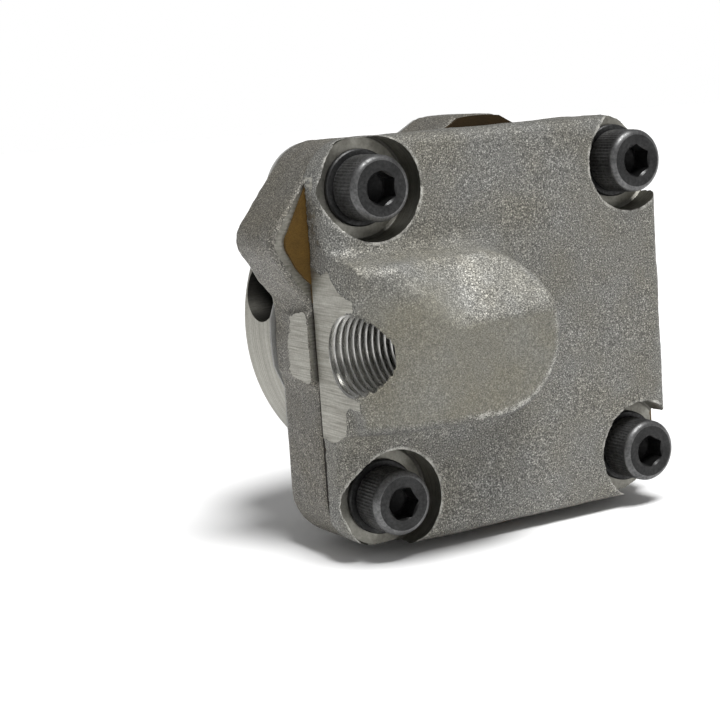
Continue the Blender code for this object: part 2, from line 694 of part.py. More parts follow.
def main():
    clear_scene()
    parts = make_collection("hydraulic_gear_pump")
    cutters = make_collection("cutters")
    cast_iron = material("cast_iron", (0.21, 0.20, 0.175), 0.6, 0.6)
    black_oxide = material("black_oxide", (0.035, 0.035, 0.037), 0.4, 0.7)
    steel = material("gear_steel", (0.42, 0.42, 0.41), 0.35, 1.0)
    hard_steel = material("ground_steel", (0.52, 0.52, 0.5), 0.25, 1.0)
    bronze = material("bronze", (0.5, 0.34, 0.16), 0.35, 1.0)
    tan_paper = material("tan_gasket_paper", (0.26, 0.13, 0.035), 0.85, 0.0)
    grey_paper = material("grey_gasket_paper", (0.34, 0.34, 0.33), 0.9, 0.0)

    make_body(parts, cutters, cast_iron)
    make_cover(parts, cutters, cast_iron)
    make_cover_gasket(parts, cutters, tan_paper)
    make_mounting_gasket(parts, cutters, grey_paper)
    for n, (side, up) in enumerate(SCREW_PLACES, 1):
        make_screw(n, side, up, parts, cutters, black_oxide)
        make_washer(n, side, up, parts, black_oxide)
    make_dowels(parts, hard_steel)
    make_bushes(parts, bronze)
    make_plug(parts, hard_steel)
    make_idler_pin(parts, hard_steel)
    make_gear_train(parts, cutters, steel, hard_steel)


main()
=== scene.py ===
from math import cos, pi, radians, sin, sqrt, tau

import bmesh
import bpy
import numpy as np
from mathutils import Matrix, Vector, noise
from mathutils.kdtree import KDTree


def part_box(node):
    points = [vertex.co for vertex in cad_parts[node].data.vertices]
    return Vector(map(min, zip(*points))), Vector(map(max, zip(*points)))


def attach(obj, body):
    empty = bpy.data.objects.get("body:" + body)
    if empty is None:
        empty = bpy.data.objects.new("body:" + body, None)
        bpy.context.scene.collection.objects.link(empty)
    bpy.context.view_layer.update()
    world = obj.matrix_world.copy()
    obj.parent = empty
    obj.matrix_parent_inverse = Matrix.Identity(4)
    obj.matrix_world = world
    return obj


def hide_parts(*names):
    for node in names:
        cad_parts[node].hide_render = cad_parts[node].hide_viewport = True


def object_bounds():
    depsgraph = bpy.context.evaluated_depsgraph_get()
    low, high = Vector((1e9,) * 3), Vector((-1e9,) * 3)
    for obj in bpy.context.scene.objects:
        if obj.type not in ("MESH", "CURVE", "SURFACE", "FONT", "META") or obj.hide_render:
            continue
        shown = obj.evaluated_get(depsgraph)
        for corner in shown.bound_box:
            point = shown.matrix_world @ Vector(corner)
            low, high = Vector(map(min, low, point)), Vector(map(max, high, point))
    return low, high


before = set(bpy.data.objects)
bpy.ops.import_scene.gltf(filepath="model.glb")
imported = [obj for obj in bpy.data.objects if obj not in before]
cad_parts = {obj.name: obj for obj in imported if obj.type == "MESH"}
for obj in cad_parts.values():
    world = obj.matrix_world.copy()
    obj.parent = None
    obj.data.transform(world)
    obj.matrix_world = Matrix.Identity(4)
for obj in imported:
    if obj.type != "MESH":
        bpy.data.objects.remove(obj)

CAD_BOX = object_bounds()
MM = 0.001

# Places and sizes, from the CAD nodes' boxes where those give them. Y runs from the cover to the
# crankcase, and the outlet port's axis is at Z 0.
SCREW_XZ = 31.0 * MM
SCREW_PLACES = ((-1, 1), (1, 1), (-1, -1), (1, -1))
SCREW_HOLE_R = 4.5 * MM
DRIVE_Z = 15.0 * MM
IDLER_Z = -15.0 * MM

COVER_LOW, COVER_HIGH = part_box("cover")
COVER_LEFT = COVER_LOW.x
COVER_RIGHT = COVER_HIGH.x
COVER_REAR = COVER_HIGH.y
COVER_HALF_HEIGHT = COVER_HIGH.z
COVER_FRONT = COVER_REAR - 9.0 * MM
BOSS_CREST = COVER_LOW.y
COVER_CORNER_R = 10.0 * MM
SPOTFACE_R = 10.4 * MM
SPOTFACE_Y = COVER_REAR - 2.4 * MM

BODY_LOW, BODY_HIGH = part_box("pump_body")
PILOT_REAR = BODY_HIGH.y
FLANGE_FRONT = BODY_LOW.y
FLANGE_REAR = FLANGE_FRONT + 16.2 * MM
PILOT_R = 37.2 * MM
FLANGE_CORNER_R = 10.6 * MM
FLANGE_BULGE_R = BODY_HIGH.x
FLANGE_HOLLOW = 0.3 * MM  # how far the sides are drawn in between a corner and a bulge
BULGE_HALF_ANGLE = 6.6  # in degrees
BULGE_FOOT = 10.0 * MM  # from the middle of a side to where its bulge starts
TOP_DROP = 1.0 * MM  # how far below the upper screws the upper corners' centres lie
FLANGE_FLAT_X = -42.8 * MM
EAR_X = -43.6 * MM
EAR_Z = 21.6 * MM
EAR_R = 6.0 * MM

PORT_Y = COVER_REAR - 12.6 * MM
PORT_R = 7.4 * MM
PORT_BORE_R = 7.0 * MM
PORT_MOUTH_R = 8.5 * MM
PORT_PITCH = 1.411 * MM
PORT_THREAD_END = -22.0 * MM
PORT_THREAD_VALLEY_R = 7.7 * MM
PORT_THREAD_CREST_R = 8.4 * MM
PORT_TAPER = 1 / 32  # a pipe thread's, on the radius
BOSS_RISE = 1.0 * MM  # how far the boss's middle lies above the port's axis
BOSS_END_X = -13.0 * MM  # the centre of its round end, where it meets the plate
BOSS_END_LEAN = 0.15  # how fast that centre moves to the left towards the crest
BOSS_HALF = 17.0 * MM  # half its height where it meets the plate
BOSS_DRAFT = 0.09  # how fast that narrows towards the crest
BOSS_EDGE = 2.6 * MM
BOSS_FILLET = 4.5 * MM
SHOULDER_Z = 4.8 * MM  # where the boss's sloping upper shoulder starts on the crest
SHOULDER_TILT = radians(32.0)
LEFT_END_LEAN = radians(41.0)
VALLEY_DEPTH = 0.25 * MM
PLATE_EDGE = 3.0 * MM
LEFT_EDGE_EXTRA = 2.6 * MM
LEFT_ALLOWANCE = 0.6 * MM  # what the milling cutter takes off the cover's left side
SIDE_PORT_R = 7.2 * MM
SIDE_PORT_END = 11.5 * MM
SIDE_PORT_Y = 15.0 * MM
SIDE_PORT_Z = 9.4 * MM

HEAD_R = 6.5 * MM
HEAD_REAR = SPOTFACE_Y - 1.2 * MM
HEAD_FRONT = HEAD_REAR - 8.0 * MM
SCREW_TIP = HEAD_REAR + 30.0 * MM
SCREW_R = 4.0 * MM
THREAD_CORE_R = 3.4 * MM
SCREW_PITCH = 1.25 * MM
SOCKET_DEPTH = 5.0 * MM
WASHER_R = 7.6 * MM
WASHER_BORE_R = 4.3 * MM
HEX_R = 3.0 * MM / cos(pi / 6)
HEX_TURNS = (radians(30.0), radians(30.0), 0.0, radians(30.0))

SHEET_GAP = 0.03 * MM  # between a gasket and the faces it seals
GASKET_OPENING_R = 18.6 * MM
PAINTED_SHADE_BELOW_Z = 9.0 * MM  # the cover gasket's edge is painted near-black below this, as painted shade in the joint's groove
GEAR_CHAMBER_R = 18.3 * MM
GEAR_CHAMBER_END = 9.5 * MM
BUSH_SEAT_R = 9.3 * MM
COVER_SEAT_END = -22.9 * MM
IDLER_SEAT_R = 6.3 * MM
IDLER_SEAT_END = 20.6 * MM
FAR = 60.0 * MM  # beyond every piece, for cutters that open to the outside

GRID = 0.42 * MM  # cell size of the cast surfaces
SKIN = 0.2 * MM  # how far the cast surfaces stay inside the CAD part
# The cast skins' waves, each as (length, height).
COVER_WAVES = ((16.0 * MM, 0.16 * MM), (4.5 * MM, 0.1 * MM), (1.1 * MM, 0.07 * MM))
BODY_WAVES = ((14.0 * MM, 0.2 * MM), (4.0 * MM, 0.12 * MM), (1.1 * MM, 0.08 * MM))
CHIP_DEPTH = 0.3 * MM
RIM_REACH = 1.6 * MM  # how far from a bored rim the skin may be worn


# Cast shapes, as signed distances on a grid: negative inside, in metres.


def rounded_min(a, b, radius):
    """The union of two distances with a fillet."""
    h = np.maximum(radius - np.abs(a - b), 0.0) / radius
    return np.minimum(a, b) - h * h * radius / 4


def rounded_max(a, b, radius):
    """The overlap of two distances, with its edge rounded to a radius."""
    inner = np.minimum(np.maximum(a, b) + radius, 0.0)
    outer = np.hypot(np.maximum(a + radius, 0.0), np.maximum(b + radius, 0.0))
    return inner + outer - radius


def round_rectangle(x, z, low_x, high_x, half_z, radius):
    dx = np.abs(x - (low_x + high_x) / 2) - (high_x - low_x) / 2 + radius
    dz = np.abs(z) - half_z + radius
    outer = np.hypot(np.maximum(dx, 0.0), np.maximum(dz, 0.0))
    return outer + np.minimum(np.maximum(dx, dz), 0.0) - radius


def polygon_distance(x, z, points):
    """Signed distance to a closed outline in the XZ plane."""
    nearest = np.full(np.broadcast(x, z).shape, np.inf)
    inside = np.zeros(nearest.shape, bool)
    for (ax, az), (bx, bz) in zip(points, points[1:] + points[:1]):
        ex, ez = bx - ax, bz - az
        t = np.clip(((x - ax) * ex + (z - az) * ez) / (ex * ex + ez * ez), 0.0, 1.0)
        nearest = np.minimum(nearest, np.hypot(x - ax - t * ex, z - az - t * ez))
        if ez != 0.0:
            spans = (az > z) != (bz > z)
            inside ^= spans & (x < ax + (z - az) * ex / ez)
    return np.where(inside, -nearest, nearest)


def grid_axes(low, high):
    return [np.arange(a, b + GRID, GRID) for a, b in zip(low, high)]


def surface_net(name, field, axes):
    """A closed mesh of quads along the zero surface of a field on a grid."""
    inside = field < 0
    shape = [n - 1 for n in field.shape]
    corners = [(i, j, k) for i in (0, 1) for j in (0, 1) for k in (0, 1)]

    def shifted(array, corner):
        return array[tuple(slice(c, c + n) for c, n in zip(corner, shape))]

    count = sum(shifted(inside, c).astype(np.int8) for c in corners)
    active = (count > 0) & (count < 8)
    cells = np.argwhere(active)
    values = [shifted(field, c)[active] for c in corners]
    total = np.zeros((len(cells), 3))
    crossings = np.zeros(len(cells))
    for a in range(8):
        for b in range(a + 1, 8):
            if sum(p != q for p, q in zip(corners[a], corners[b])) != 1:
                continue
            cut = (values[a] < 0) != (values[b] < 0)
            t = values[a][cut] / (values[a][cut] - values[b][cut])
            start = np.array(corners[a])
            run = np.array(corners[b]) - start
            total[cut] += start + t[:, None] * run
            crossings[cut] += 1
    place = cells + total / crossings[:, None]
    points = np.array([axis[0] for axis in axes]) + place * GRID
    index = np.full(shape, -1)
    index[active] = np.arange(len(cells))
    quads = []
    for axis in range(3):
        first, second = [(1, 2), (2, 0), (0, 1)][axis]
        near = np.take(inside, range(field.shape[axis] - 1), axis)
        far = np.take(inside, range(1, field.shape[axis]), axis)
        edges = np.argwhere(near != far)
        enters = near[tuple(edges.T)]
        corner = []
        for back_first, back_second in ((1, 1), (0, 1), (0, 0), (1, 0)):
            cell = edges.copy()
            cell[:, first] -= back_first
            cell[:, second] -= back_second
            corner.append(index[tuple(cell.T)])
        quad = np.stack(corner, 1)
        quad[~enters] = quad[~enters][:, ::-1]
        quads.append(quad)
    faces = np.concatenate(quads)
    mesh = bpy.data.meshes.new(name)
    mesh.vertices.add(len(points))
    mesh.vertices.foreach_set("co", points.astype(np.float32).ravel())
    mesh.loops.add(faces.size)
    mesh.loops.foreach_set("vertex_index", faces.astype(np.int32).ravel())
    mesh.polygons.add(len(faces))
    mesh.polygons.foreach_set("loop_start", np.arange(0, faces.size, 4, dtype=np.int32))
    mesh.update(calc_edges=True)
    mesh.validate()
    return place_in_scene(name, mesh)


def place_in_scene(name, mesh):
    made = bpy.data.objects.new(name, mesh)
    bpy.context.scene.collection.objects.link(made)
    return made


def points_and_normals(mesh):
    found = []
    for what in ("co", "normal"):
        values = np.zeros(len(mesh.vertices) * 3)
        mesh.vertices.foreach_get(what, values)
        found.append(values.reshape(-1, 3))
    return found


def roughen(piece, waves, seed):
    """Moves a cast surface in and out along its normals. Waves are (length, height) in metres."""
    mesh = piece.data
    co, normals = points_and_normals(mesh)
    move = np.zeros(len(co))
    for n, (length, height) in enumerate(waves):
        shift = Vector((seed * 17.0 + n * 5.3, seed * 3.1, n * 9.7))
        move += height * np.array([noise.noise(Vector(p) / length + shift) for p in co])
    co += normals * move[:, None]
    mesh.vertices.foreach_set("co", co.ravel())
    mesh.update()


# Machined shapes and cutters.


def arc(cx, cz, radius, start, end, steps):
    """Points along an arc, with its angles in degrees from +X towards +Z."""
    angles = [radians(start + (end - start) * i / steps) for i in range(steps + 1)]
    return [(cx + radius * cos(a), cz + radius * sin(a)) for a in angles]


def mesh_from(name, work):
    bmesh.ops.recalc_face_normals(work, faces=work.faces)
    mesh = bpy.data.meshes.new(name)
    work.to_mesh(mesh)
    work.free()
    return place_in_scene(name, mesh)


def turned(name, profile, sides=96, x=0.0, z=0.0, along="Y", y=0.0):
    """A closed solid turned about an axis along Y at (x, z), or along X at (y, z).
    The profile is (radius, place along the axis) from one end of the axis to the other."""
    work = bmesh.new()
    rings = []
    for radius, at in profile:
        if radius == 0.0:
            ring = [work.verts.new((0.0, at, 0.0))]
        else:
            turns = [tau * n / sides for n in range(sides)]
            ring = [work.verts.new((radius * cos(a), at, radius * sin(a))) for a in turns]
        rings.append(ring)
    for a, b in zip(rings, rings[1:]):
        for n in range(sides):
            m = (n + 1) % sides
            corners = [a[n % len(a)], a[m % len(a)], b[m % len(b)], b[n % len(b)]]
            face = list(dict.fromkeys(corners))
            if len(face) > 2:
                work.faces.new(face)
    made = mesh_from(name, work)
    if along == "X":
        swap = Matrix(((0, 1, 0, 0), (-1, 0, 0, y), (0, 0, 1, z), (0, 0, 0, 1)))
        made.data.transform(swap)
    else:
        made.data.transform(Matrix.Translation((x, 0.0, z)))
    return made


def rod(radius, start, end):
    """The profile of a plain rod, for turned()."""
    return [(0.0, start), (radius, start), (radius, end), (0.0, end)]


def block(name, low, high):
    work = bmesh.new()
    bmesh.ops.create_cube(work, size=1.0)
    bmesh.ops.scale(work, vec=Vector(high) - Vector(low), verts=work.verts)
    bmesh.ops.translate(work, vec=(Vector(low) + Vector(high)) / 2, verts=work.verts)
    return mesh_from(name, work)


def thread(name, valley, crest, pitch, start, end, taper=0.0, sides=72):
    """A rod along Y with a screw thread. Its rows follow the helix, so that the ridges stay crisp.
    The taper is how much the radius grows for each metre towards the start."""
    steps = ((0.0, crest), (0.14, crest), (0.5, valley), (0.64, valley))
    turns = int((end - start) / pitch)
    rows = turns * len(steps) + 1
    work = bmesh.new()
    grid = []
    for n in range(rows):
        share, radius = steps[n % len(steps)]
        row = []
        for m in range(sides):
            y = start + pitch * (n // len(steps) + share + m / sides)
            r = radius + taper * (start - y)
            a = tau * m / sides
            row.append(work.verts.new((r * cos(a), y, r * sin(a))))
        grid.append(row)
    lead = len(steps)
    for n in range(rows - 1):
        for m in range(sides - 1):
            work.faces.new((grid[n][m], grid[n][m + 1], grid[n + 1][m + 1], grid[n + 1][m]))
        if n + 1 + lead < rows:
            a, b = grid[n][-1], grid[n + 1][-1]
            work.faces.new((a, grid[n + lead][0], grid[n + lead + 1][0], b))
    last = rows - 1
    front = [v for v in grid[0]] + [grid[n][0] for n in range(lead, 0, -1)]
    rear = [v for v in grid[last]] + [grid[n][-1] for n in range(last - 1, last - 1 - lead, -1)]
    for ring, place in ((front, start + pitch / 2), (rear, end)):
        hub = work.verts.new((0.0, place, 0.0))
        for a, b in zip(ring, ring[1:] + ring[:1]):
            work.faces.new((hub, a, b))
    return mesh_from(name, work)


def combine(target, tool, operation):
    """Cuts or joins with another object, which is then removed. Cut faces keep the tool's material."""
    step = target.modifiers.new("cut", "BOOLEAN")
    step.operation = operation
    step.solver = "MANIFOLD"
    step.object = tool
    bpy.context.view_layer.update()
    graph = bpy.context.evaluated_depsgraph_get()
    mesh = bpy.data.meshes.new_from_object(target.evaluated_get(graph), depsgraph=graph)
    target.modifiers.clear()
    old = target.data
    target.data = mesh
    bpy.data.meshes.remove(old)
    bpy.data.objects.remove(tool, do_unlink=True)


def prism(name, outline, front, rear):
    """A flat outline in the XZ plane, extruded along Y."""
    work = bmesh.new()
    face = work.faces.new([work.verts.new((x, front, z)) for x, z in outline])
    grown = bmesh.ops.extrude_face_region(work, geom=[face])
    moved = [v for v in grown["geom"] if isinstance(v, bmesh.types.BMVert)]
    bmesh.ops.translate(work, vec=(0.0, rear - front, 0.0), verts=moved)
    return mesh_from(name, work)


def paint(piece, *looks):
    """Gives a piece its finishes. A casting holds all those that its cuts bring, in order."""
    for look in looks:
        piece.data.materials.append(look)
    return piece


def cut(target, tool, look):
    combine(target, paint(tool, look), "DIFFERENCE")


def clamp_to_cad(piece):
    """Keeps a roughened surface inside the CAD part's box."""
    low, high = CAD_BOX
    for vertex in piece.data.vertices:
        vertex.co = [min(max(c, a), b) for c, a, b in zip(vertex.co, low, high)]


def shade(piece, angle=35.0):
    """Smooth shading, with sharp edges at corners and where one finish meets another."""
    mesh = piece.data
    mesh.shade_smooth()
    mesh.set_sharp_from_angle(angle=radians(angle))
    planes = [n for n, look in enumerate(mesh.materials) if look in (LOOKS["milled"], LOOKS["ledge"])]
    work = bmesh.new()
    work.from_mesh(mesh)
    for face in work.faces:
        face.smooth = face.material_index not in planes
    for edge in work.edges:
        if len({face.material_index for face in edge.link_faces}) > 1:
            edge.smooth = False
    work.to_mesh(mesh)
    work.free()


def wear_rims(piece, depth, seed):
    """Chips the edges where a machined face breaks through the cast skin, whose slot is 0, and
    stores on each vertex how near a bored rim is, from 1 on it to 0 at RIM_REACH."""
    mesh = piece.data
    bored = list(mesh.materials).index(LOOKS["bored"])
    work = bmesh.new()
    work.from_mesh(mesh)
    bmesh.ops.triangulate(work, faces=[face for face in work.faces if len(face.verts) > 4])
    rims = {}
    bright = set()
    for edge in work.edges:
        skin = [f for f in edge.link_faces if f.material_index == 0]
        bare = [f for f in edge.link_faces if f.material_index != 0]
        if len(skin) == 1 and len(bare) == 1:
            for vertex in edge.verts:
                rims.setdefault(vertex, []).append((skin[0].normal, bare[0].normal))
                if bare[0].material_index == bored:
                    bright.add(vertex)
    tree = KDTree(len(bright))
    for vertex, sides in rims.items():
        if vertex in bright:
            tree.insert(vertex.co, vertex.index)
        skin = sum((a for a, b in sides), Vector())
        way = skin.copy()
        for _, bare in sides:
            way -= way.dot(bare) * bare
        chip = noise.noise(vertex.co / (1.1 * MM) + Vector((seed, 0.0, 0.0)))
        chip += 0.7 * noise.noise(vertex.co / (0.4 * MM) + Vector((0.0, seed, 0.0)))
        if way.length > 0.1:
            vertex.co -= way.normalized() * depth * max(0.0, 0.35 + chip)
    tree.balance()
    work.verts.ensure_lookup_table()
    near = np.zeros(len(work.verts), np.float32)
    for n, vertex in enumerate(work.verts):
        if any(face.material_index == 0 for face in vertex.link_faces):
            near[n] = max(0.0, 1.0 - tree.find(vertex.co)[2] / RIM_REACH)
    work.to_mesh(mesh)
    work.free()
    store(mesh, "rim", near)


# Materials.


def node(tree, kind, inputs=None, **settings):
    """Adds a shader node. Inputs are values, or sockets to link from."""
    made = tree.nodes.new(kind)
    for key, value in settings.items():
        setattr(made, key, value)
    for key, value in (inputs or {}).items():
        if isinstance(value, bpy.types.NodeSocket):
            tree.links.new(value, made.inputs[key])
        else:
            made.inputs[key].default_value = value
    return made


def new_material(name, **fixed):
    """A Principled material, with the values that are the same all over the surface."""
    made = bpy.data.materials.new(name)
    made.use_nodes = True
    shader = made.node_tree.nodes["Principled BSDF"]
    for key, value in fixed.items():
        shader.inputs[key.replace("_", " ")].default_value = value
    return made, made.node_tree, shader


def object_place(tree, scale=(1.0, 1.0, 1.0)):
    """The surface point in the row frame, in millimetres, stretched along the axes."""
    coordinates = node(tree, "ShaderNodeTexCoord")
    mapping = node(tree, "ShaderNodeMapping", {
        "Vector": coordinates.outputs["Object"],
        "Scale": [s / MM for s in scale],
    })
    return mapping.outputs["Vector"]


def noise_at(tree, place, scale, detail=3.0, rough=0.55):
    made = node(tree, "ShaderNodeTexNoise", {
        "Vector": place, "Scale": scale, "Detail": detail, "Roughness": rough,
    })
    return made.outputs["Fac"]


def ramp(tree, factor, *stops):
    """A colour ramp. A stop is (position, colour) with a grey value or three numbers."""
    made = node(tree, "ShaderNodeValToRGB", {"Fac": factor})
    elements = made.color_ramp.elements
    while len(elements) < len(stops):
        elements.new(0.5)
    for element, (position, colour) in zip(elements, stops):
        element.position = position
        grey = isinstance(colour, float)
        element.color = (colour, colour, colour, 1.0) if grey else (*colour, 1.0)
    return made.outputs["Color"]


def mix(tree, factor, a, b, blend="MIX"):
    made = node(tree, "ShaderNodeMix", data_type="RGBA", blend_type=blend)
    for socket, value in ((made.inputs[0], factor), (made.inputs[6], a), (made.inputs[7], b)):
        if isinstance(value, bpy.types.NodeSocket):
            tree.links.new(value, socket)
        elif socket.type == "RGBA":
            socket.default_value = (*value, 1.0)
        else:
            socket.default_value = value
    return made.outputs[2]


def maths(tree, operation, a, b, clamp=False):
    made = node(tree, "ShaderNodeMath", {0: a, 1: b}, operation=operation, use_clamp=clamp)
    return made.outputs["Value"]


def bump(tree, height, distance, strength=1.0, under=None):
    inputs = {"Height": height, "Distance": distance, "Strength": strength}
    if under is not None:
        inputs["Normal"] = under
    return node(tree, "ShaderNodeBump", inputs).outputs["Normal"]


def finish_shader(tree, shader, colour, rough, normal):
    tree.links.new(colour, shader.inputs["Base Color"])
    tree.links.new(rough, shader.inputs["Roughness"])
    tree.links.new(normal, shader.inputs["Normal"])


def cast_iron(name, tint, painted_slope_light):
    """Shot-blasted cast iron: a fine bright and dark grain, faint olive stains and bare rims.
    Where mark_boss says so the skin is calmer and browner and its edge is rubbed bright, and with
    painted_slope_light the boss also takes painted light on its upward-facing slope and painted shade on
    its underside."""
    made, tree, shader = new_material(name, Metallic=0.3)
    place = object_place(tree)
    grain = noise_at(tree, place, 3.4, 2.0, 0.7)
    coarse = noise_at(tree, place, 0.9, 3.0, 0.6)
    patch = noise_at(tree, place, 0.4, 3.0, 0.65)
    stain = noise_at(tree, place, 0.07, 4.0, 0.6)
    rough_skin = ramp(tree, grain, (0.34, 0.06), (0.47, 0.14), (0.58, 0.235), (0.7, 0.58))
    calm_skin = ramp(tree, grain, (0.34, 0.13), (0.5, 0.185), (0.7, 0.27))
    calm = node(tree, "ShaderNodeAttribute", attribute_name="calm").outputs["Fac"]
    calm_tone = mix(tree, 1.0, calm_skin, (1.0, 0.985, 0.91), "MULTIPLY")
    base = mix(tree, maths(tree, "MULTIPLY", calm, 0.85), rough_skin, calm_tone)
    stain_and_painted_light = ramp(tree, stain, (0.38, (0.98, 0.97, 0.91)), (0.66, (0.92, 0.88, 0.75)))
    base = mix(tree, 1.0, base, stain_and_painted_light, "MULTIPLY")
    base = mix(tree, 1.0, base, ramp(tree, coarse, (0.32, 0.86), (0.62, 1.06)), "MULTIPLY")
    base = mix(tree, 1.0, base, tint, "MULTIPLY")
    # Painted light and shade on the boss: brighter where it faces up, darker where it faces down.
    if painted_slope_light:
        boss = node(tree, "ShaderNodeAttribute", attribute_name="stain_and_painted_light").outputs["Fac"]
        base = mix(tree, 1.0, base, ramp(tree, boss, (0.0, 0.62), (0.5, 1.0), (1.0, 1.5)), "MULTIPLY")
    rim = node(tree, "ShaderNodeAttribute", attribute_name="rim").outputs["Fac"]
    rubbed = node(tree, "ShaderNodeAttribute", attribute_name="edge").outputs["Fac"]
    speckle = maths(tree, "MULTIPLY", maths(tree, "ADD", patch, grain), 0.5)
    chips = maths(tree, "MULTIPLY", maths(tree, "ADD", rim, speckle), 0.6)
    chips = ramp(tree, chips, (0.64, 0.0), (0.92, 0.9))
    chips = maths(tree, "MULTIPLY", chips, ramp(tree, patch, (0.38, 0.1), (0.6, 1.0)))
    shine = maths(tree, "ADD", maths(tree, "MULTIPLY", rubbed, 0.25), speckle)
    shine = ramp(tree, shine, (0.62, 0.0), (0.82, 0.85))
    colour = mix(tree, maths(tree, "MAXIMUM", chips, shine), base, (0.62, 0.61, 0.56))
    rough = ramp(tree, grain, (0.35, 0.66), (0.7, 0.38))
    normal = bump(tree, grain, 0.14 * MM, 0.8)
    normal = bump(tree, coarse, 0.2 * MM, 0.5, normal)
    finish_shader(tree, shader, colour, rough, normal)
    return made


def machined_iron(name, stretch, tint=1.0, turned_marks=False):
    """Bare iron with tool marks. The stretch is how fine the marks are along each axis, or along the
    radius and the length of a face that was turned about the pilot's axis."""
    made, tree, shader = new_material(name, Metallic=0.9)
    way = object_place(tree, stretch)
    if turned_marks:
        flat = node(tree, "ShaderNodeVectorMath", {0: way, 1: (1.0, 0.0, 1.0)}, operation="MULTIPLY")
        radius = node(tree, "ShaderNodeVectorMath", {0: flat.outputs[0]}, operation="LENGTH")
        length = node(tree, "ShaderNodeSeparateXYZ", {"Vector": way}).outputs["Y"]
        rings = {"X": radius.outputs["Value"], "Y": length}
        way = node(tree, "ShaderNodeCombineXYZ", rings).outputs["Vector"]
    marks = noise_at(tree, way, 1.0, 3.0, 0.6)
    place = object_place(tree)
    spots = noise_at(tree, place, 2.2, 2.0, 0.6)
    cloud = noise_at(tree, place, 0.12, 3.0, 0.55)
    light = [tint * c for c in (0.46, 0.45, 0.4)]
    dark = [tint * c for c in (0.26, 0.25, 0.215)]
    base = ramp(tree, marks, (0.3, dark), (0.68, light))
    base = mix(tree, 1.0, base, ramp(tree, cloud, (0.3, 0.92), (0.7, 1.03)), "MULTIPLY")
    base = mix(tree, 1.0, base, ramp(tree, spots, (0.3, 0.85), (0.6, 1.05)), "MULTIPLY")
    rough = ramp(tree, marks, (0.3, 0.5), (0.7, 0.36))
    finish_shader(tree, shader, base, rough, bump(tree, marks, 0.05 * MM, 0.6))
    return made


def black_oxide(name, shine, tint):
    made, tree, shader = new_material(name, Metallic=0.75)
    place = object_place(tree)
    grain = noise_at(tree, place, 1.6, 3.0, 0.6)
    cloud = noise_at(tree, place, 0.25, 3.0, 0.6)
    base = ramp(tree, cloud, (0.3, 0.028 * tint), (0.7, 0.058 * tint))
    base = mix(tree, 1.0, base, ramp(tree, grain, (0.35, 0.7), (0.7, 1.35)), "MULTIPLY")
    rough = ramp(tree, grain, (0.3, shine + 0.1), (0.7, shine - 0.06))
    finish_shader(tree, shader, base, rough, bump(tree, grain, 0.03 * MM, 0.5))
    return made


def gasket_paper(name, low, high, top_painted_shade=1.0):
    """Pressed fibre sheet, with short fibres and faint clouds, and painted darker along its top as
    painted shade.
    """
    made, tree, shader = new_material(name, Metallic=0.0, Specular_IOR_Level=0.25)
    fibres = noise_at(tree, object_place(tree, (3.0, 3.0, 9.0)), 1.0, 4.0, 0.7)
    cloud = noise_at(tree, object_place(tree), 0.3, 3.0, 0.6)
    base = ramp(tree, fibres, (0.3, low), (0.7, high))
    base = mix(tree, 1.0, base, ramp(tree, cloud, (0.3, 0.82), (0.7, 1.06)), "MULTIPLY")
    high_z = node(tree, "ShaderNodeSeparateXYZ", {"Vector": object_place(tree)}).outputs["Z"]
    # Painted shade: the sheet darkens towards its top edge, above 37 mm.
    top_shade_mask = maths(tree, "MULTIPLY", maths(tree, "SUBTRACT", high_z, 37.0), 0.4, clamp=True)
    base = mix(tree, 1.0, base, ramp(tree, top_shade_mask, (0.0, 1.0), (1.0, top_painted_shade)), "MULTIPLY")
    rough = ramp(tree, fibres, (0.3, 0.9), (0.7, 0.72))
    finish_shader(tree, shader, base, rough, bump(tree, fibres, 0.06 * MM, 0.6))
    return made


def steel(name, low, high, rough_low, rough_high, stretch):
    """Ground or cut metal, with fine marks along one direction."""
    made, tree, shader = new_material(name, Metallic=1.0)
    marks = noise_at(tree, object_place(tree, stretch), 1.0, 3.0, 0.6)
    cloud = noise_at(tree, object_place(tree), 0.2, 2.0, 0.5)
    base = ramp(tree, marks, (0.3, low), (0.7, high))
    base = mix(tree, 1.0, base, ramp(tree, cloud, (0.3, 0.88), (0.7, 1.05)), "MULTIPLY")
    rough = ramp(tree, marks, (0.3, rough_high), (0.7, rough_low))
    finish_shader(tree, shader, base, rough, bump(tree, marks, 0.02 * MM, 0.5))
    return made


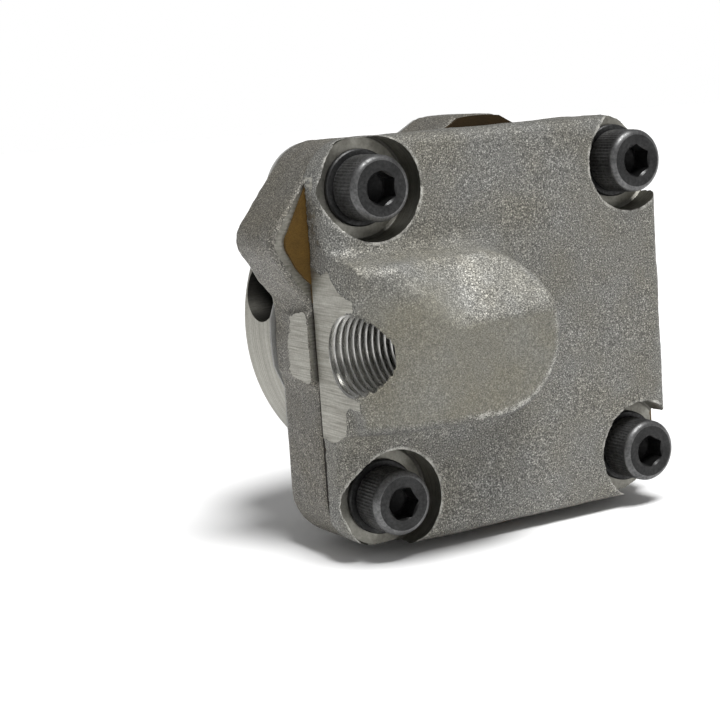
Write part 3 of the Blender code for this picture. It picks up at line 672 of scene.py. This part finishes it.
LOOKS = {
    # The cover's cast iron also takes the boss's painted light and painted shade.
    "cast": cast_iron("cast_iron_cover", (0.97, 0.97, 0.96), True),
    "cast_body": cast_iron("cast_iron_body", (0.8, 0.77, 0.72), False),
    "milled": machined_iron("milled_iron", (0.4, 0.12, 4.0), 0.8),
    "ledge": machined_iron("milled_joint_face", (0.5, 2.0, 2.0), 0.8),
    "turned": machined_iron("turned_iron", (3.0, 4.0, 3.0), 0.85, True),
    # The bored iron is a darker copy of the machined iron: painted shade in the spotfaces, bores and
    # holes.
    "bored": machined_iron("bored_iron_painted_shade", (0.3, 4.0, 0.3), 0.62),
    "drilled": machined_iron("drilled_iron", (0.3, 3.0, 3.0), 0.2),
    "thread": steel("cut_thread", (0.42, 0.42, 0.4), (0.72, 0.71, 0.68), 0.22, 0.36, (5.0, 0.4, 0.4)),
    "oxide": black_oxide("black_oxide_screws", 0.33, 0.68),
    # The knurled sides' oxide is a lighter copy: painted light on the sides of the heads.
    "knurl_painted_light": black_oxide("black_oxide_knurling_painted_light", 0.4, 3.0),
    # The sockets' oxide is a darker copy: painted shade inside the hexagon sockets.
    "socket": black_oxide("black_oxide_sockets_painted_shade", 0.5, 0.22),
    "washer": black_oxide("black_oxide_washers", 0.46, 1.0),
    # A near-black sheet edge: painted shade for the narrow groove of the joint.
    "painted_shade_edge": gasket_paper("gasket_edge_painted_shade", (0.008, 0.006, 0.004), (0.02, 0.015, 0.01)),
    # The tan sheet's top is painted down to 0.3 of its colour: painted shade where it stands above the
    # cover.
    "tan_paper": gasket_paper("tan_gasket_paper", (0.06, 0.031, 0.004), (0.112, 0.062, 0.01), 0.3),
    "grey_paper": gasket_paper("grey_gasket_paper", (0.26, 0.26, 0.25), (0.4, 0.4, 0.385)),
    "gear": steel("hobbed_steel", (0.34, 0.34, 0.33), (0.5, 0.5, 0.48), 0.28, 0.42, (0.2, 3.0, 0.2)),
    "ground": steel("ground_steel", (0.3, 0.3, 0.295), (0.44, 0.44, 0.43), 0.24, 0.4, (0.1, 6.0, 0.1)),
    "bronze": steel("bearing_bronze", (0.42, 0.26, 0.1), (0.62, 0.42, 0.2), 0.25, 0.4, (0.3, 4.0, 0.3)),
}


# Pieces.


def casting_looks(skin):
    return [LOOKS[name] for name in (skin, "ledge", "milled", "bored", "drilled", "thread", "turned")]


def boss_section(x, y, z):
    """Distance to the boss's round-ended outline, which narrows towards the crest."""
    above = np.maximum(COVER_FRONT - y, 0.0)
    end = BOSS_END_X - BOSS_END_LEAN * above
    return np.hypot(np.maximum(x - end, 0.0), z - BOSS_RISE) - BOSS_HALF + BOSS_DRAFT * above


def ramp_up(value, start, length):
    """0 up to a start, then rising to 1 over a length."""
    return np.clip((value - start) / length, 0.0, 1.0)


def unmilled(y, z):
    """How far the cover's left side is drawn in where the milling cutter missed it."""
    low = 0.75 * MM * ramp_up(-z, 14.0 * MM, 5.0 * MM)
    under_port = ramp_up(-z, 9.0 * MM, 3.0 * MM) * ramp_up(-y, -COVER_FRONT - 0.5 * MM, 3.0 * MM)
    on_boss = ramp_up(-y, -COVER_FRONT - 2.0 * MM, 6.0 * MM)
    level = z - 0.2 * (y - COVER_REAR)
    high = (0.6 + 0.9 * on_boss) * MM * ramp_up(level, 12.0 * MM, 5.0 * MM)
    return low + 1.3 * MM * under_port + high


def plate_field(x, y, z, left):
    """The cover's plate, with a wider rounding on its left edge."""
    outline = round_rectangle(
        x,
        z,
        COVER_LEFT - LEFT_ALLOWANCE,
        COVER_RIGHT - SKIN,
        COVER_HALF_HEIGHT - SKIN,
        COVER_CORNER_R,
    )
    edge = PLATE_EDGE + LEFT_EDGE_EXTRA * ramp_up(-x, 30.0 * MM, 8.0 * MM)
    return rounded_max(np.maximum(outline, left), COVER_FRONT - y, edge)


def boss_field(x, y, z):
    """The outlet boss: round at its right end, with a sloping shoulder on top and a slanted left end."""
    crest = BOSS_CREST + SKIN - y
    boss = rounded_max(boss_section(x, y, z), crest, BOSS_EDGE)
    dip = 1.2 * MM * np.exp(-(((x + 20.0 * MM) / (4.5 * MM)) ** 2))
    ridge = SHOULDER_Z - dip + 0.5 * np.maximum(-25.0 * MM - x, 0.0)
    slope = (z - ridge) * sin(SHOULDER_TILT) + crest * cos(SHOULDER_TILT)
    boss = rounded_max(boss, slope, 1.0 * MM)
    from_port = PORT_Y - 3.2 * MM - y
    slant = (COVER_LEFT - x) * cos(LEFT_END_LEAN) + from_port * sin(LEFT_END_LEAN)
    boss = rounded_max(boss, rounded_max(slant, crest, 7.0 * MM), 2.5 * MM)
    valley = (x + 22.5 * MM - 0.4 * (z - 7.0 * MM)) / (3.0 * MM)
    return boss + VALLEY_DEPTH * np.exp(-valley * valley) * ramp_up(z, MM, 6.0 * MM)


def cover_field(axes):
    x = axes[0][:, None, None]
    y = axes[1][None, :, None]
    z = axes[2][None, None, :]
    left = COVER_LEFT - LEFT_ALLOWANCE + unmilled(y, z) - x
    plate = plate_field(x, y, z, left)
    solid = np.maximum(rounded_min(plate, boss_field(x, y, z), BOSS_FILLET), left)
    depth = 0.5 * MM + 1.0 * MM * ramp_up(-y, -PORT_Y, 6.0 * MM)
    mouth = np.maximum(np.hypot(y - PORT_Y, z) - PORT_MOUTH_R, x + 27.0 * MM)
    return np.maximum(solid, -np.maximum(mouth, -depth - solid))


def store(mesh, name, values):
    layer = mesh.attributes.new(name, "FLOAT", "POINT")
    layer.data.foreach_set("value", values.astype(np.float32).ravel())


def mark_boss(cover):
    """Stores where the boss's skin is calm, on its crest, and where its edge is rubbed bright, and
    paints light and shade on it: brighter on the upward-facing upper slope as painted light, darker on
    the downward-facing underside as painted shade."""
    mesh = cover.data
    co, normals = points_and_normals(mesh)
    x, y, z = co.T
    tilt = normals[:, 2]
    above = np.maximum(COVER_FRONT - y, 0.0)
    on_boss = ramp_up(above, 1.2 * MM, 3.0 * MM)
    # Painted light where the surface faces up, painted shade where it faces down.
    lit = ramp_up(tilt, 0.2, 0.25) - 0.8 * ramp_up(-tilt, 0.3, 0.4)
    store(mesh, "stain_and_painted_light", 0.5 + 0.5 * lit * on_boss)
    section = boss_section(x, y, z)
    crest = ramp_up(-y, -BOSS_CREST - 4.0 * MM, 3.0 * MM)
    inner = ramp_up(-section, 0.6 * MM, 1.5 * MM)
    below = ramp_up(-z, -5.5 * MM, 1.5 * MM)
    left = ramp_up(-x, 20.0 * MM, 6.0 * MM)
    high = ramp_up(above, 4.8 * MM, 6.0 * MM) * ramp_up(-z, -16.0 * MM, 8.0 * MM)
    store(mesh, "calm", np.maximum(crest * inner * below, left * high * inner))
    band = np.hypot(section + 1.0 * MM, y - BOSS_CREST - SKIN - 0.8 * MM)
    low = 0.8 + 0.2 * ramp_up(-z, 4.0 * MM, 5.0 * MM)
    right = ramp_up(x, -30.0 * MM, 10.0 * MM)
    store(mesh, "edge", ramp_up(-band, -1.5 * MM, 1.5 * MM) * below * low * right)


def port_cutters():
    """The tapered pipe thread of the outlet port, its countersink and the bore behind it."""
    start = COVER_LEFT - PORT_PITCH
    radii = (PORT_THREAD_VALLEY_R, PORT_THREAD_CREST_R)
    ridge = thread("port_thread", *radii, PORT_PITCH, start, PORT_THREAD_END, PORT_TAPER, 96)
    swap = Matrix(((0, 1, 0, 0), (-1, 0, 0, PORT_Y), (0, 0, 1, 0), (0, 0, 0, 1)))
    ridge.data.transform(swap)
    mouth = [
        (0.0, -FAR),
        (PORT_R, -FAR),
        (PORT_R, COVER_LEFT),
        (PORT_BORE_R, COVER_LEFT + 0.8 * MM),
        (PORT_BORE_R, -5.0 * MM),
        (0.0, -2.5 * MM),
    ]
    bore = turned("port_bore", mouth, 96, along="X", y=PORT_Y)
    return ridge, bore


def cut_screw_holes(piece, look):
    for side, up in SCREW_PLACES:
        hole = rod(SCREW_HOLE_R, -FAR, FAR)
        cut(piece, turned("hole", hole, 48, side * SCREW_XZ, up * SCREW_XZ), LOOKS[look])


def make_cover():
    low = (COVER_LEFT - 1.6 * MM, BOSS_CREST - MM, -COVER_HALF_HEIGHT - MM)
    high = (COVER_RIGHT + MM, COVER_REAR + 1.5 * MM, COVER_HALF_HEIGHT + MM)
    axes = grid_axes(low, high)
    field = np.maximum(cover_field(axes), axes[1][None, :, None] - COVER_REAR - 0.8 * MM)
    cover = paint(surface_net("cover_casting", field, axes), *casting_looks("cast"))
    roughen(cover, COVER_WAVES, 1)
    clamp_to_cad(cover)
    mark_boss(cover)
    cut(cover, block("rear", (-FAR, COVER_REAR, -FAR), (FAR, FAR, FAR)), LOOKS["ledge"])
    cut(cover, block("left", (-FAR, -FAR, -FAR), (COVER_LEFT, FAR, FAR)), LOOKS["milled"])
    for side, up in SCREW_PLACES:
        profile = [
            (0.0, -FAR),
            (SPOTFACE_R, -FAR),
            (SPOTFACE_R, SPOTFACE_Y - 0.5 * MM),
            (SPOTFACE_R - 0.5 * MM, SPOTFACE_Y),
            (SCREW_HOLE_R, SPOTFACE_Y),
            (SCREW_HOLE_R, 0.0),
            (0.0, 0.0),
        ]
        tool = turned("spotface", profile, 96, side * SCREW_XZ, up * SCREW_XZ)
        cut(cover, tool, LOOKS["bored"])
    seat = rod(BUSH_SEAT_R, COVER_SEAT_END, 0.0)
    cut(cover, turned("bush_seat", seat, 64, 0.0, DRIVE_Z), LOOKS["bored"])
    ridge, bore = port_cutters()
    cut(cover, bore, LOOKS["thread"])
    cut(cover, ridge, LOOKS["thread"])
    wear_rims(cover, CHIP_DEPTH, 1.0)
    shade(cover)
    ride_for(cover, "cover")


def outline_round(left_side, inset, low_left_r):
    """An outline like the flange's, drawn in, with its own left side: round corners and a low bulge in
    the middle of each side."""
    s = SCREW_XZ
    corner = FLANGE_CORNER_R - inset
    side = s + corner - FLANGE_HOLLOW
    bulge = FLANGE_BULGE_R - inset
    half = BULGE_HALF_ANGLE
    foot = BULGE_FOOT
    points = arc(s, s - TOP_DROP, corner, 0, 90, 12) + [(foot, side - TOP_DROP)]
    points += arc(0, 0, bulge, 90 - half, 90 + half, 6) + [(-foot, side - TOP_DROP)]
    points += left_side
    points += arc(-s, -s, low_left_r, 180, 270, 12) + [(-foot, -side)]
    points += arc(0, 0, bulge, 270 - half, 270 + half, 6) + [(foot, -side)]
    points += arc(s, -s, corner, 270, 360, 12) + [(side, -foot)]
    return points + arc(0, 0, bulge, -half, half, 6) + [(side, foot)]


def left_bulge(radius):
    return arc(0, 0, radius, 180 - BULGE_HALF_ANGLE, 180 + BULGE_HALF_ANGLE, 6)


def upper_left(inset, end):
    """The upper left corner, from the top of the outline to an angle in degrees."""
    corner = FLANGE_CORNER_R - inset
    return arc(-SCREW_XZ, SCREW_XZ - TOP_DROP, corner, 90, end, 8 if end < 180 else 12)


def flange_outline(inset):
    corner = FLANGE_CORNER_R - inset
    left = upper_left(inset, 140) + arc(EAR_X, EAR_Z, EAR_R - inset, 140, 225, 12)
    left += [(-45.5 * MM + inset, 13.3 * MM), (-42.7 * MM + inset, 9.6 * MM)]
    left += left_bulge(FLANGE_BULGE_R - inset - 1.0 * MM)
    left += [(-SCREW_XZ - corner + FLANGE_HOLLOW, -BULGE_FOOT)]
    return outline_round(left, inset, corner)


def cover_gasket_outline():
    """Round the ear this sheet is smaller than the flange, and at the lower left it is flush."""
    inset = 0.5 * MM
    low_left = FLANGE_CORNER_R - 0.25 * MM
    left = upper_left(inset, 140)
    left += arc(EAR_X + 0.2 * MM, EAR_Z - 0.3 * MM, EAR_R - 2.8 * MM, 140, 215, 12)
    left += [(-44.6 * MM, 16.6 * MM), (-42.9 * MM, 14.4 * MM), (-41.3 * MM, 12.9 * MM)]
    left += [(-SCREW_XZ - low_left, -BULGE_FOOT)]
    return outline_round(left, inset, low_left)


def mounting_gasket_outline():
    """This sheet leaves out the ear."""
    inset = 0.6 * MM
    low_left = FLANGE_CORNER_R - 1.2 * MM
    side = SCREW_XZ + FLANGE_CORNER_R - inset - FLANGE_HOLLOW
    left = upper_left(inset, 180) + [(-side, BULGE_FOOT)] + left_bulge(FLANGE_BULGE_R - inset)
    left += [(-SCREW_XZ - low_left, -BULGE_FOOT)]
    return outline_round(left, inset, low_left)


def body_field(axes):
    """The flange without its pilot, with a pad under the milled flat on its left side."""
    x = axes[0][:, None]
    z = axes[2][None, :]
    outline = polygon_distance(x, z, flange_outline(SKIN))
    pad = round_rectangle(x, z - 0.2 * MM, -43.5 * MM, 0.0, 7.4 * MM, 1.5 * MM)
    y = axes[1][None, :, None]
    back = 0.14 * np.maximum(y - FLANGE_FRONT - 2.0 * MM, 0.0)
    softened = rounded_min(outline[:, None, :], pad[:, None, :] + back, 1.5 * MM)
    faces = np.maximum(FLANGE_FRONT - 0.5 * MM - y, y - FLANGE_REAR - 0.5 * MM)
    return rounded_max(softened, faces, 2.2 * MM)


def make_body():
    low = [c - MM for c in BODY_LOW]
    high = (BODY_HIGH.x + MM, FLANGE_REAR + 1.5 * MM, BODY_HIGH.z + MM)
    axes = grid_axes(low, high)
    body = paint(surface_net("pump_body_casting", body_field(axes), axes), *casting_looks("cast_body"))
    roughen(body, BODY_WAVES, 2)
    clamp_to_cad(body)
    cut(body, block("front", (-FAR, -FAR, -FAR), (FAR, FLANGE_FRONT, FAR)), LOOKS["ledge"])
    cut(body, block("rear", (-FAR, FLANGE_REAR, -FAR), (FAR, FAR, FAR)), LOOKS["ledge"])
    flat = block("flat", (-FAR, -FAR, -12.0 * MM), (FLANGE_FLAT_X, FLANGE_REAR - 3.0 * MM, 9.0 * MM))
    cut(body, flat, LOOKS["milled"])
    chamfer = 0.8 * MM
    relief_r = PILOT_R - 0.4 * MM
    profile = [
        (0.0, PILOT_REAR),
        (PILOT_R - chamfer, PILOT_REAR),
        (PILOT_R, PILOT_REAR - chamfer),
        (PILOT_R, FLANGE_REAR + 1.6 * MM),
        (relief_r, FLANGE_REAR + 1.2 * MM),
        (relief_r, FLANGE_FRONT / 2),
        (0.0, FLANGE_FRONT / 2),
    ]
    combine(body, paint(turned("pilot", profile, 160), LOOKS["turned"]), "UNION")
    for z in (DRIVE_Z, IDLER_Z):
        chamber = rod(GEAR_CHAMBER_R, -FAR, GEAR_CHAMBER_END)
        cut(body, turned("chamber", chamber, 96, 0.0, z), LOOKS["bored"])
    for side in (-1, 1):
        pocket = [(0.0, -FAR), (6.0 * MM, -FAR), (6.0 * MM, 15.0 * MM), (0.0, 17.0 * MM)]
        tool = turned("pocket", pocket, 48, side * 14.5 * MM, -side * 2.0 * MM)
        cut(body, tool, LOOKS["cast_body"])
        port = rod(SIDE_PORT_R, *sorted((side * SIDE_PORT_END, side * FAR)))
        tool = turned("port", port, 72, along="X", y=SIDE_PORT_Y, z=-side * SIDE_PORT_Z)
        cut(body, tool, LOOKS["drilled"])
    for z, radius, end in ((DRIVE_Z, BUSH_SEAT_R, FAR), (IDLER_Z, IDLER_SEAT_R, IDLER_SEAT_END)):
        cut(body, turned("seat", rod(radius, 0.0, end), 64, 0.0, z), LOOKS["bored"])
    cut_screw_holes(body, "bored")
    wear_rims(body, CHIP_DEPTH, 2.0)
    shade(body)
    ride_for(body, "pump_body")


def ride_for(piece, cad_node, body="housing"):
    """Puts a piece on its body in place of a CAD node."""
    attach(piece, body)
    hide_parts(cad_node)


def knurled_head(name):
    """A cylindrical screw head with straight knurling, along Y from HEAD_FRONT to HEAD_REAR."""
    ridges = 60
    sides = ridges * 4
    dip = (0.0, 0.6, 1.0, 0.6)
    deep = 0.2 * MM
    levels = [
        (HEAD_FRONT, HEAD_R - 1.1 * MM, 0.0),
        (HEAD_FRONT + 0.08 * MM, HEAD_R - 0.85 * MM, 0.0),
        (HEAD_FRONT + 0.3 * MM, HEAD_R - 0.5 * MM, 0.0),
        (HEAD_FRONT + 0.62 * MM, HEAD_R - 0.2 * MM, 0.0),
        (HEAD_FRONT + 0.95 * MM, HEAD_R - 0.05 * MM, 0.0),
        (HEAD_FRONT + 1.3 * MM, HEAD_R - 0.05 * MM, 0.0),
        (HEAD_FRONT + 1.6 * MM, HEAD_R, deep),
        (HEAD_REAR - 0.7 * MM, HEAD_R, deep),
        (HEAD_REAR - 0.4 * MM, HEAD_R - 0.05 * MM, 0.0),
        (HEAD_REAR, HEAD_R - 0.35 * MM, 0.0),
    ]
    work = bmesh.new()
    rings = []
    for y, radius, depth in levels:
        ring = []
        for n in range(sides):
            r = radius - depth * dip[n % 4]
            ring.append(work.verts.new((r * cos(tau * n / sides), y, r * sin(tau * n / sides))))
        rings.append(ring)
    for a, b in zip(rings, rings[1:]):
        for n in range(sides):
            m = (n + 1) % sides
            work.faces.new((a[n], a[m], b[m], b[n]))
    # The knurled sides take the lighter oxide, painted light on the heads' sides.
    for face in work.faces:
        face.material_index = 1
    work.faces.new(rings[0])
    work.faces.new(rings[-1])
    return mesh_from(name, work)


def cut_socket(screw, turn):
    """The hexagon socket, its countersunk mouth and the round drill bottom behind it."""
    floor = HEAD_FRONT + SOCKET_DEPTH
    front = HEAD_FRONT - MM
    tool = prism("hexagon", arc(0.0, 0.0, HEX_R, 0, 300, 5), front, floor - 0.6 * MM)
    tool.data.transform(Matrix.Rotation(turn, 4, "Y"))
    # The socket walls and the drill bottom take the darker oxide, painted shade in the recess.
    cut(screw, tool, LOOKS["socket"])
    mouth = [
        (0.0, front),
        (HEX_R + 0.95 * MM, front),
        (HEX_R - 0.05 * MM, HEAD_FRONT),
        (0.0, HEAD_FRONT + 3.0 * MM),
    ]
    cut(screw, turned("mouth", mouth, 72), LOOKS["oxide"])
    drill_r = 2.75 * MM
    drill = [(0.0, front), (drill_r, front), (drill_r, floor - 0.5 * MM), (0.0, floor + 0.9 * MM)]
    cut(screw, turned("drill", drill, 72), LOOKS["socket"])


def threaded_shank():
    """The screw's thread, trimmed at the head and pointed at its tip."""
    start = HEAD_REAR - 2.0 * MM
    shank = thread("shank", THREAD_CORE_R, SCREW_R, SCREW_PITCH, start, SCREW_TIP, 0.0, 48)
    trim_r = SCREW_R + MM
    tip = SCREW_TIP - 0.1 * MM
    limit = [
        (0.0, HEAD_REAR - 0.5 * MM),
        (trim_r, HEAD_REAR - 0.5 * MM),
        (trim_r, SCREW_TIP - 1.8 * MM),
        (SCREW_R, SCREW_TIP - 1.0 * MM),
        (3.1 * MM, tip),
        (0.0, tip),
    ]
    combine(shank, turned("limit", limit, 48), "INTERSECT")
    return shank


def make_screws():
    """Four socket-head screws: knurled heads, countersunk hexagon sockets and rolled threads."""
    for n, (side, up) in enumerate(SCREW_PLACES, 1):
        screw = paint(knurled_head(f"socket_head_screw_{n}"), LOOKS["oxide"], LOOKS["knurl_painted_light"])
        cut_socket(screw, HEX_TURNS[n - 1])
        combine(screw, threaded_shank(), "UNION")
        screw.data.transform(Matrix.Translation((side * SCREW_XZ, 0.0, up * SCREW_XZ)))
        shade(screw, 28.0)
        ride_for(screw, f"cover_screw_{n}")


def ring_solid(name, profile, sides=96):
    """A closed profile of (radius, y), with its hole left open, turned about the Y axis."""
    work = bmesh.new()
    turns = [tau * m / sides for m in range(sides)]
    loops = [[work.verts.new((r * cos(a), y, r * sin(a))) for a in turns] for r, y in profile]
    for a, b in zip(loops, loops[1:] + loops[:1]):
        for m in range(sides):
            k = (m + 1) % sides
            work.faces.new((a[m], a[k], b[k], b[m]))
    return mesh_from(name, work)


def make_washers():
    front = SPOTFACE_Y - 1.15 * MM
    rear = SPOTFACE_Y - 0.02 * MM
    profile = (
        (WASHER_BORE_R, front + 0.1 * MM),
        (WASHER_BORE_R + 0.15 * MM, front),
        (WASHER_R - 0.25 * MM, front),
        (WASHER_R, front + 0.22 * MM),
        (WASHER_R, rear - 0.1 * MM),
        (WASHER_R - 0.1 * MM, rear),
        (WASHER_BORE_R, rear),
    )
    for n, (side, up) in enumerate(SCREW_PLACES, 1):
        washer = paint(ring_solid(f"hardened_washer_{n}", profile), LOOKS["washer"])
        washer.data.transform(Matrix.Translation((side * SCREW_XZ, 0.0, up * SCREW_XZ)))
        shade(washer)
        ride_for(washer, f"screw_washer_{n}")


def wavy(points, seed, height):
    """An outline cut by hand: denser points, each moved a little."""
    dense = []
    for (ax, az), (bx, bz) in zip(points, points[1:] + points[:1]):
        steps = max(1, int(sqrt((bx - ax) ** 2 + (bz - az) ** 2) / (1.2 * MM)))
        for n in range(steps):
            x, z = ax + (bx - ax) * n / steps, az + (bz - az) * n / steps
            shift = noise.noise(Vector((x, z, 0.0)) / (5.0 * MM) + Vector((0.0, 0.0, seed)))
            scale = 1.0 + shift * height / sqrt(x * x + z * z)
            dense.append((x * scale, z * scale))
    return dense


def make_gaskets():
    outline = wavy(cover_gasket_outline(), 3.0, 0.12 * MM)
    sheet = prism("cover_gasket_sheet", outline, COVER_REAR + SHEET_GAP, FLANGE_FRONT - SHEET_GAP)
    gasket = paint(sheet, LOOKS["tan_paper"], LOOKS["painted_shade_edge"])
    for z in (DRIVE_Z, IDLER_Z):
        opening = rod(GASKET_OPENING_R, -FAR, FAR)
        cut(gasket, turned("opening", opening, 96, 0.0, z), LOOKS["tan_paper"])
    cut_screw_holes(gasket, "tan_paper")
    shade(gasket, 50.0)
    # Edge faces low on the sheet take the near-black edge: painted shade of the joint's groove.
    for face in gasket.data.polygons:
        if abs(face.normal.y) < 0.5 and face.center.z < PAINTED_SHADE_BELOW_Z:
            face.material_index = 1
    ride_for(gasket, "cover_gasket")
    outline = wavy(mounting_gasket_outline(), 4.0, 0.1 * MM)
    sheet = prism("mounting_gasket_sheet", outline, FLANGE_REAR + SHEET_GAP, 0.0)
    paint(sheet, LOOKS["grey_paper"])
    opening = rod(PILOT_R + 0.3 * MM, -FAR, FAR)
    cut(sheet, turned("opening", opening, 160), LOOKS["grey_paper"])
    cut_screw_holes(sheet, "grey_paper")
    shade(sheet, 50.0)
    ride_for(sheet, "mounting_gasket")


def dress_cad_nodes():
    """Better materials on the inner pieces, which keep their CAD shapes."""
    finishes = {
        "dowel_pin_1": "ground",
        "dowel_pin_2": "ground",
        "shaft_front_bush": "bronze",
        "shaft_rear_bush": "bronze",
        "gallery_plug": "gear",
        "idler_pin": "ground",
        "drive_shaft": "ground",
        "drive_gear": "gear",
        "gear_key": "ground",
        "idler_gear": "gear",
    }
    for name, look in finishes.items():
        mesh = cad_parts[name].data
        mesh.materials.clear()
        mesh.materials.append(LOOKS[look])


# Camera, light and floor.


def make_camera():
    camera = bpy.data.objects.new("camera", bpy.data.cameras.new("camera"))
    bpy.context.scene.collection.objects.link(camera)
    right = Vector((0.86349, -0.49918, -0.07216))
    up = Vector((0.14228, 0.10381, 0.98437))
    back = right.cross(up)
    camera.matrix_world = Matrix((
        (right.x, up.x, back.x, -0.19900),
        (right.y, up.y, back.y, -0.31467),
        (right.z, up.z, back.z, 0.05210),
        (0.0, 0.0, 0.0, 1.0),
    ))
    camera.data.lens = 86.43
    camera.data.sensor_width = 36.0
    camera.data.clip_start = 0.01
    camera.data.clip_end = 20.0
    bpy.context.scene.camera = camera


def make_studio():
    """A soft high sun, and a sky that is white at the horizon and dimmer above it."""
    lamp = bpy.data.lights.new("key_light", "SUN")
    lamp.energy = 3.6
    lamp.angle = radians(20.0)
    key = bpy.data.objects.new("key_light", lamp)
    key.rotation_euler = Vector((0.0, 0.45, -1.0)).to_track_quat("-Z", "Y").to_euler()
    bpy.context.scene.collection.objects.link(key)
    world = bpy.data.worlds.new("studio")
    world.use_nodes = True
    tree = world.node_tree
    sky = node(tree, "ShaderNodeTexCoord").outputs["Generated"]
    height = node(tree, "ShaderNodeSeparateXYZ", {"Vector": sky}).outputs["Z"]
    glow = ramp(tree, height, (0.0, 1.0), (0.1, 1.0), (0.15, 0.25), (1.0, 0.3))
    tree.links.new(glow, tree.nodes["Background"].inputs["Color"])
    bpy.context.scene.world = world
    bpy.context.scene.view_settings.view_transform = "Standard"
    make_floor()


def make_floor():
    made, tree, shader = new_material("pale_floor", Metallic=0.0, Specular_IOR_Level=0.2)
    cloud = noise_at(tree, object_place(tree), 0.004, 2.0, 0.5)
    colour = ramp(tree, cloud, (0.3, 0.93), (0.7, 0.96))
    tree.links.new(colour, shader.inputs["Base Color"])
    shader.inputs["Roughness"].default_value = 0.8
    work = bmesh.new()
    bmesh.ops.create_circle(work, cap_ends=True, segments=96, radius=3.0)
    floor = paint(mesh_from("floor", work), made)
    floor.location.z = CAD_BOX[0].z


make_camera()
make_cover()
make_body()
make_screws()
make_washers()
make_gaskets()
dress_cad_nodes()
make_studio()
